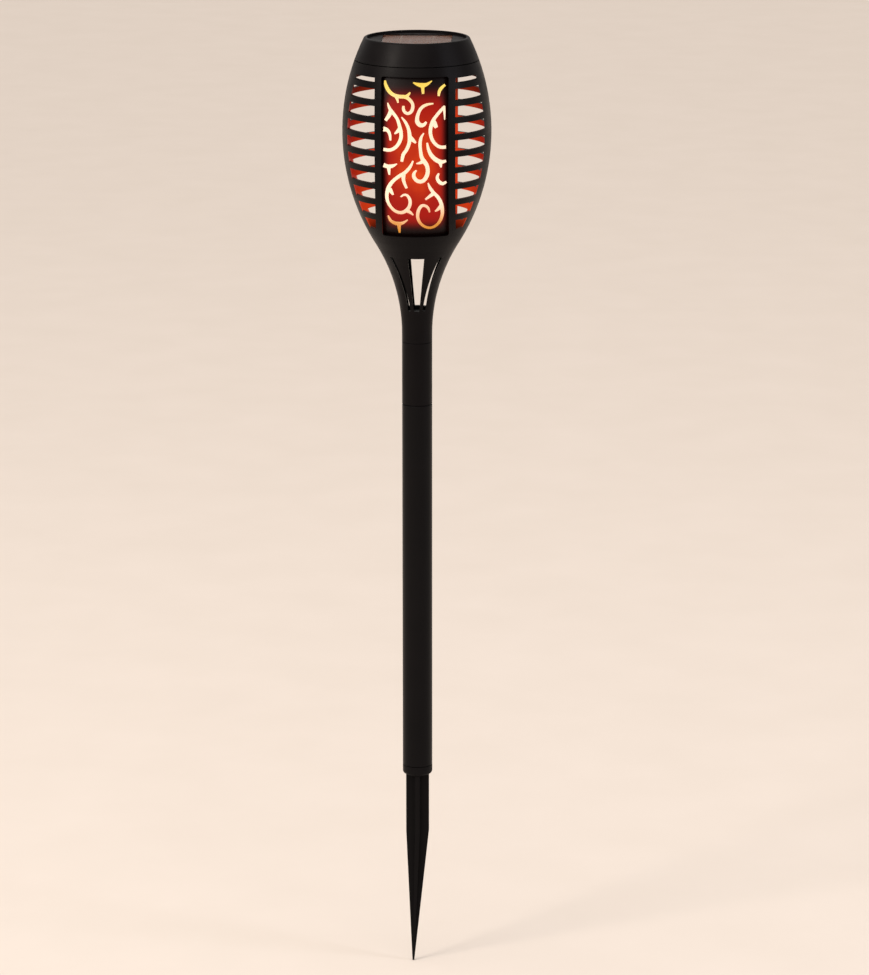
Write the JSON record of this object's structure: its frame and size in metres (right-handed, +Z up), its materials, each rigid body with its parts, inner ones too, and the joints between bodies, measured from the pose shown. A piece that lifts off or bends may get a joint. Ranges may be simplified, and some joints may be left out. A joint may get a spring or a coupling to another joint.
{
  "type": "tiki torch",
  "caption": "Small solar flame torch: cross-bladed ground stake, round pole, slatted shade with scroll windows, frosted flame tube and a twist-off solar cap.",
  "frame": {"origin": "on the pole's axis at the ground line, in the plane of the collar's flat underside", "axes": "+Z up along the pole, -Y out of the front scroll window, +X to the right seen from the front"},
  "size_m": [0.078, 0.0738, 0.5099],
  "materials": {
    "black_plastic": "semi-gloss injection moulded",
    "scroll_plate": "thin moulded panel, lit from behind",
    "seal_rubber": "soft",
    "solar_cells": "cells under resin",
    "clear_resin": "clear cover",
    "foam": "foam pad",
    "steel": "zinc-plated",
    "green_board": "solder-masked laminate",
    "component_black": "moulded epoxy",
    "capacitor_sleeve": "sleeved can",
    "button_plastic": "moulded",
    "cell_sleeve": "shrink sleeve",
    "lead_insulation": "insulated wire",
    "white_board": "white laminate",
    "lamp_resin": "yellow phosphor resin",
    "frosted_tube": "frosted polypropylene, lit"
  },
  "bodies": {
    "stake": {"ground_stake": "black_plastic"},
    "pole": {"pole_tube": "black_plastic"},
    "coupler": {"pole_coupler": "black_plastic"},
    "shade": {"shade": "black_plastic", "front_scroll_panel": "scroll_plate", "rear_scroll_panel": "scroll_plate"},
    "seal": {"seal_ring": "seal_rubber"},
    "light_unit": {"cap_housing": "black_plastic", "solar_panel": "solar_cells", "panel_cover": "clear_resin", "panel_pad": "foam", "base_plate": "black_plastic", "housing_screws": "steel", "circuit_board": "green_board", "board_screws": "steel", "control_chip": "component_black", "boost_coil": "component_black", "capacitor": "capacitor_sleeve", "switch_body": "component_black", "battery": "cell_sleeve", "positive_contact": "steel", "negative_contact": "steel", "battery_leads": "lead_insulation", "panel_leads": "lead_insulation", "lamp_leads": "lead_insulation", "lamp_board": "white_board", "lamps": "lamp_resin", "flame_tube": "frosted_tube", "tube_end_cap": "frosted_tube"},
    "button": {"switch_button": "button_plastic"}
  },
  "joints": [
    {"name": "pole_pull", "type": "slide", "parent": "stake", "child": "pole", "axis": [0, 0, 1], "range_m": [0, 0.035]},
    {"name": "coupler_pull", "type": "slide", "parent": "pole", "child": "coupler", "axis": [0, 0, 1], "range_m": [0, 0.03]},
    {"name": "shade_pull", "type": "slide", "parent": "coupler", "child": "shade", "axis": [0, 0, 1], "range_m": [0, 0.018]},
    {"name": "light_unit_lift", "type": "slide", "parent": "shade", "child": "seal", "axis": [0, 0, 1], "range_m": [0, 0.115]},
    {"name": "light_unit_twist", "type": "hinge", "parent": "seal", "child": "light_unit", "pos_m": [0, 0, 0.39], "axis": [0, 0, 1], "range_deg": [0, 25]},
    {"name": "switch_press", "type": "slide", "parent": "light_unit", "child": "button", "axis": [0, 0, 1], "range_m": [0, 0.0015], "stiffness_N_per_m": 200, "springref_m": -0.001}
  ]
}
